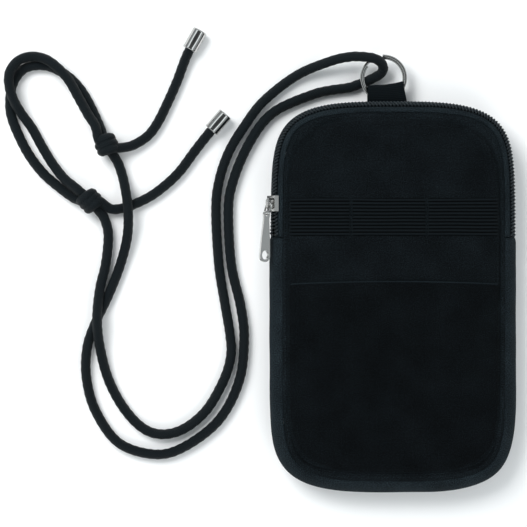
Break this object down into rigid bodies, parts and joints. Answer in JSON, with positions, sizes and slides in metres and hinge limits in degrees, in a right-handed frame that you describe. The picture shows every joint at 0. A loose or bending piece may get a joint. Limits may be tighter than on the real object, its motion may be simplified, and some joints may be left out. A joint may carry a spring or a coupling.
{
  "type": "neck pouch wallet",
  "caption": "Flat zipped phone and card pouch of black fabric, with an elastic band, an open slip pocket, a key ring tab and a round knotted neck cord with metal ends.",
  "frame": {"origin": "centre of the back panel's flat underside", "axes": "+X to the right as seen from the front, +Y up the pouch's length towards the key ring, +Z out of the front panel. The pouch lies on its back."},
  "size_m": [0.2501, 0.2278, 0.0212],
  "materials": {
    "shell_fabric": "near-black woven polyester, matt",
    "lining_fabric": "thin black polyester lining",
    "foam": "thin sewn-in sheet foam, unseen",
    "zip_tape": "black woven zip tape",
    "zip_coil": "black nylon coil",
    "elastic": "black ribbed elastic",
    "webbing": "black woven webbing",
    "binding": "black seam tape, unseen from outside",
    "nickel": "bright nickel plating",
    "cord": "black round braid"
  },
  "bodies": {
    "pouch": {"back_panel": "shell_fabric", "gusset": "shell_fabric", "front_panel_lower": "shell_fabric", "slip_pocket": "shell_fabric", "back_lining": "lining_fabric", "front_lining_lower": "lining_fabric", "inner_pocket": "lining_fabric", "back_foam": "foam", "front_foam_lower": "foam", "zip_tape_back": "zip_tape", "zip_tape_front_right": "zip_tape", "zip_tape_front_left": "zip_tape", "zip_coil_back": "zip_coil", "zip_coil_front_right": "zip_coil", "zip_coil_front_left": "zip_coil", "elastic_band": "elastic", "back_seam_binding_lower": "binding", "back_seam_binding_upper": "binding", "front_seam_binding_lower": "binding", "left_cord_end": "nickel", "right_cord_end": "nickel", "cord_inner_run": "cord", "cord_outer_run": "cord", "cord_upper_loop": "cord", "cord_lower_loop": "cord", "cord_left_tail": "cord", "cord_right_tail": "cord", "left_knot": "cord", "right_knot": "cord"},
    "front_flap": {"front_panel_upper": "shell_fabric", "front_foam_upper": "foam", "front_lining_upper": "lining_fabric", "front_seam_binding_upper": "binding", "zip_tape_front_top": "zip_tape", "zip_coil_front_top": "zip_coil"},
    "slider": {"slider_body": "nickel"},
    "pull_link": {"pull_link": "nickel"},
    "pull_tab": {"pull_tab": "nickel"},
    "ring_tab": {"ring_tab": "webbing", "cord_at_ring": "cord"},
    "split_ring": {"split_ring": "nickel"}
  },
  "joints": [
    {"name": "front_open", "type": "hinge", "parent": "pouch", "child": "front_flap", "pos_m": [0, 0.052, 0.0182], "axis": [1, 0, 0], "range_deg": [0, 100]},
    {"name": "slider_run", "type": "slide", "parent": "pouch", "child": "slider", "axis": [0, 1, 0], "range_m": [-0.004, 0.002]},
    {"name": "link_swing", "type": "hinge", "parent": "slider", "child": "pull_link", "pos_m": [-0.06014, 0.045, 0.01757], "axis": [0.5277, 0, 0.8494], "range_deg": [-110, 0]},
    {"name": "pull_swing", "type": "hinge", "parent": "pull_link", "child": "pull_tab", "pos_m": [-0.06161, 0.03967, 0.01848], "axis": [0.5277, 0, 0.8494], "range_deg": [-60, 5]},
    {"name": "tab_swing", "type": "hinge", "parent": "pouch", "child": "ring_tab", "pos_m": [-0.0024, 0.0964, 0.0065], "axis": [1, 0, 0], "range_deg": [0, 60]},
    {"name": "ring_turn", "type": "hinge", "parent": "ring_tab", "child": "split_ring", "pos_m": [-0.0042, 0.10675, 0.0065], "axis": [0, 0, 1], "continuous": true}
  ]
}
